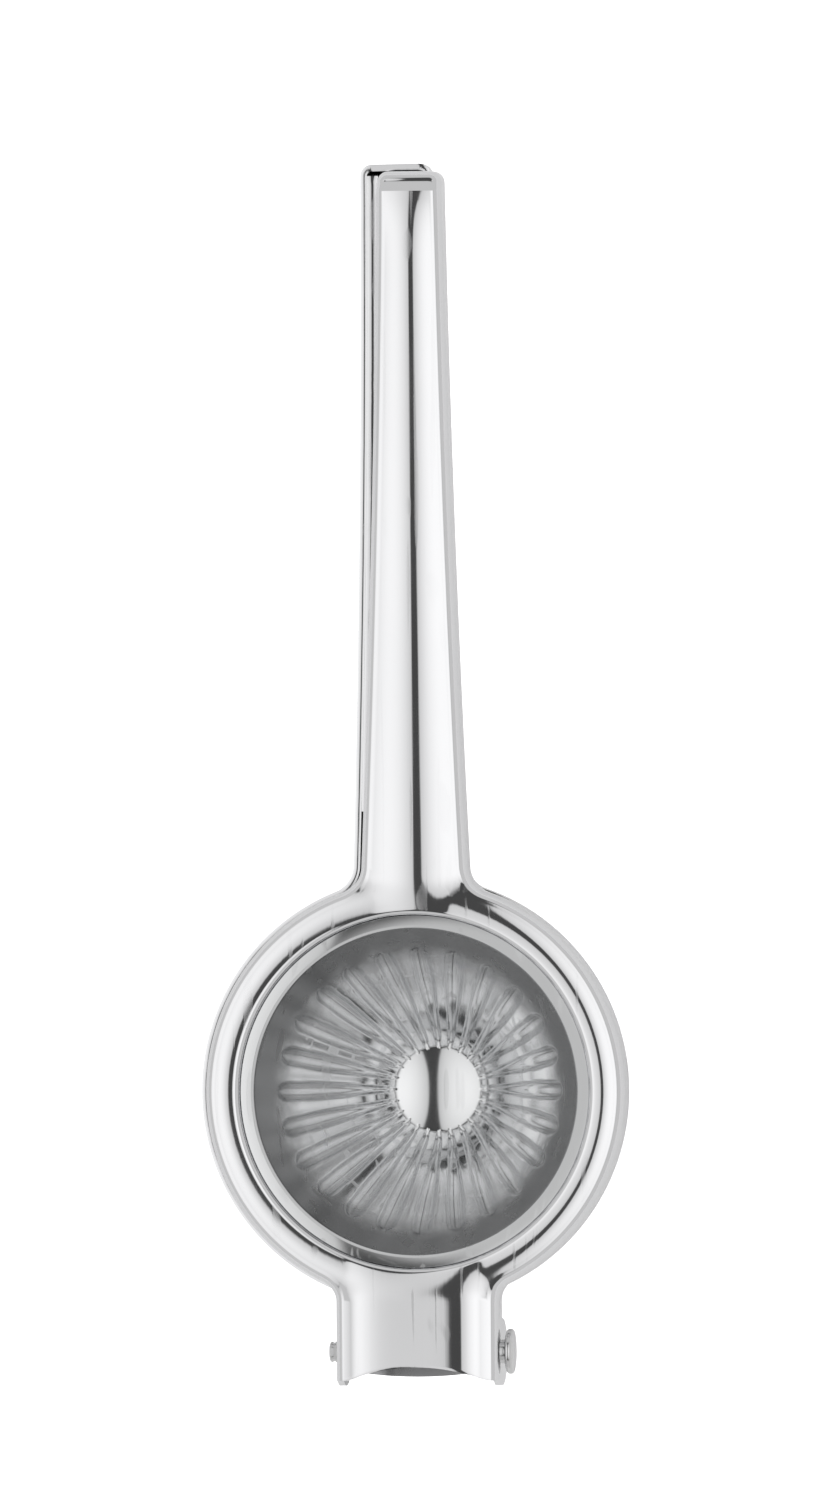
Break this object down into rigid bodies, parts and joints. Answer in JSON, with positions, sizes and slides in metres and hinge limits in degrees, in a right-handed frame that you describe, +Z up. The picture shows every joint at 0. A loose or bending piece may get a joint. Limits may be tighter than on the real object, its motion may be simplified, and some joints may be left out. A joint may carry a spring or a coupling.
{
  "type": "hand citrus press",
  "caption": "Stamped steel hand press for lemons: two hinged levers, a ribbed press cup in the upper ring and a perforated strainer bowl in the lower ring.",
  "frame": {"origin": "centre of the strainer bowl's small flat bottom", "axes": "+Z up out of the open press cup, +Y from the hinge along the handles to their tips, +X along the hinge pin to its head"},
  "size_m": [0.0762, 0.2154, 0.0371],
  "materials": {
    "polished_sheet": "mirror-polished stamped steel sheet with fine wiping scratches",
    "drawn_cup": "polished drawn steel, slightly duller, with radial draw marks",
    "pin_steel": "turned steel with a crimped end"
  },
  "bodies": {
    "lower": {"lower_lever": "polished_sheet", "strainer_bowl": "drawn_cup", "hinge_pin": "pin_steel"},
    "upper": {"upper_lever": "polished_sheet", "press_cup": "drawn_cup"}
  },
  "joints": [
    {"name": "lever_hinge", "type": "hinge", "parent": "lower", "child": "upper", "pos_m": [0.0011, -0.0459, 0.02963], "axis": [1, 0, 0], "range_deg": [0, 100]}
  ]
}
